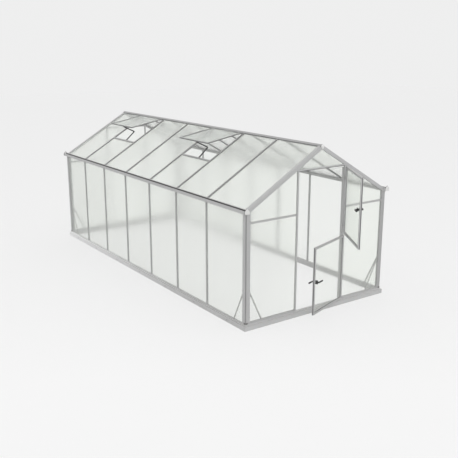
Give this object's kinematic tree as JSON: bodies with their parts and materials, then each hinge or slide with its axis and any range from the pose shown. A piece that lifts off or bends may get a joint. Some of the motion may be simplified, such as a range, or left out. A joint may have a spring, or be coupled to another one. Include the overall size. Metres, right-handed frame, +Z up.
{
  "type": "polycarbonate greenhouse",
  "caption": "Walk-in aluminium greenhouse with frosted twin-wall panels, a pitched roof with open roof vents, gutters and a stable door.",
  "frame": {"origin": "on the ground, in the middle of the front gable wall's centre plane", "axes": "+X to the right seen from the front, +Y along the house away from the front gable, +Z up"},
  "size_m": [2.399, 6.0118, 2.1627],
  "materials": {
    "frame_aluminium": "mill-finish extrusion, soft sheen",
    "base_rail_metal": "light folded sheet, soft sheen",
    "twin_wall_panel": "frosted twin-wall polycarbonate, fluted",
    "white_cap": "moulded, satin",
    "black_plastic": "moulded, satin",
    "hinge_steel": "zinc plated",
    "opener_metal": "satin"
  },
  "bodies": {
    "house": {"front_base_rail": "base_rail_metal", "back_base_rail": "base_rail_metal", "left_base_rail": "base_rail_metal", "right_base_rail": "base_rail_metal", "front_left_post": "frame_aluminium", "front_right_post": "frame_aluminium", "back_left_post": "frame_aluminium", "back_right_post": "frame_aluminium", "left_gutter": "frame_aluminium", "right_gutter": "frame_aluminium", "ridge_beam": "frame_aluminium", "front_rafters": "frame_aluminium", "back_rafters": "frame_aluminium", "eave_caps": "white_cap", "ridge_caps": "white_cap", "left_wall_bars": "frame_aluminium", "right_wall_bars": "frame_aluminium", "left_roof_bars": "frame_aluminium", "right_roof_bars": "frame_aluminium", "door_posts": "frame_aluminium", "door_header": "frame_aluminium", "front_transoms": "frame_aluminium", "back_wall_posts": "frame_aluminium", "back_transoms": "frame_aluminium", "left_wall_panels": "twin_wall_panel", "right_wall_panels": "twin_wall_panel", "left_roof_panels": "twin_wall_panel", "right_roof_panels": "twin_wall_panel", "front_gable_panels": "twin_wall_panel", "back_gable_panels": "twin_wall_panel", "corner_braces": "frame_aluminium", "vent_curbs": "frame_aluminium", "vent_sash_stiles": "frame_aluminium", "vent_sash_rails": "frame_aluminium", "vent_panes": "twin_wall_panel", "vent_openers": "opener_metal", "door_hinge_pins": "hinge_steel"},
    "lower_leaf": {"lower_door_stiles": "frame_aluminium", "lower_door_rails": "frame_aluminium", "lower_door_panel": "twin_wall_panel", "lower_door_fittings": "black_plastic"},
    "lower_handle": {"lower_door_spindle": "black_plastic", "lower_door_levers": "black_plastic"},
    "upper_leaf": {"upper_door_stiles": "frame_aluminium", "upper_door_rails": "frame_aluminium", "upper_door_panel": "twin_wall_panel", "upper_door_fittings": "black_plastic"},
    "upper_handle": {"upper_door_spindle": "black_plastic", "upper_door_levers": "black_plastic"}
  },
  "joints": [
    {"name": "lower_door", "type": "hinge", "parent": "house", "child": "lower_leaf", "pos_m": [0.403, -0.029, 0], "axis": [0, 0, 1], "range_deg": [-18.6, 101.4]},
    {"name": "lower_lever", "type": "hinge", "parent": "lower_leaf", "child": "lower_handle", "pos_m": [-0.24433, -0.24685, 0.505], "axis": [-0.319, 0.9478, 0], "range_deg": [0, 35], "stiffness_Nm_per_rad": 0.1, "springref_deg": -17.19},
    {"name": "upper_door", "type": "hinge", "parent": "house", "child": "upper_leaf", "pos_m": [0.403, -0.029, 0], "axis": [0, 0, 1], "range_deg": [-59.3, 60.7]},
    {"name": "upper_lever", "type": "hinge", "parent": "upper_leaf", "child": "upper_handle", "pos_m": [0.0543, -0.61628, 1.457], "axis": [-0.8599, 0.5105, 0], "range_deg": [0, 35], "stiffness_Nm_per_rad": 0.1, "springref_deg": -17.19}
  ]
}
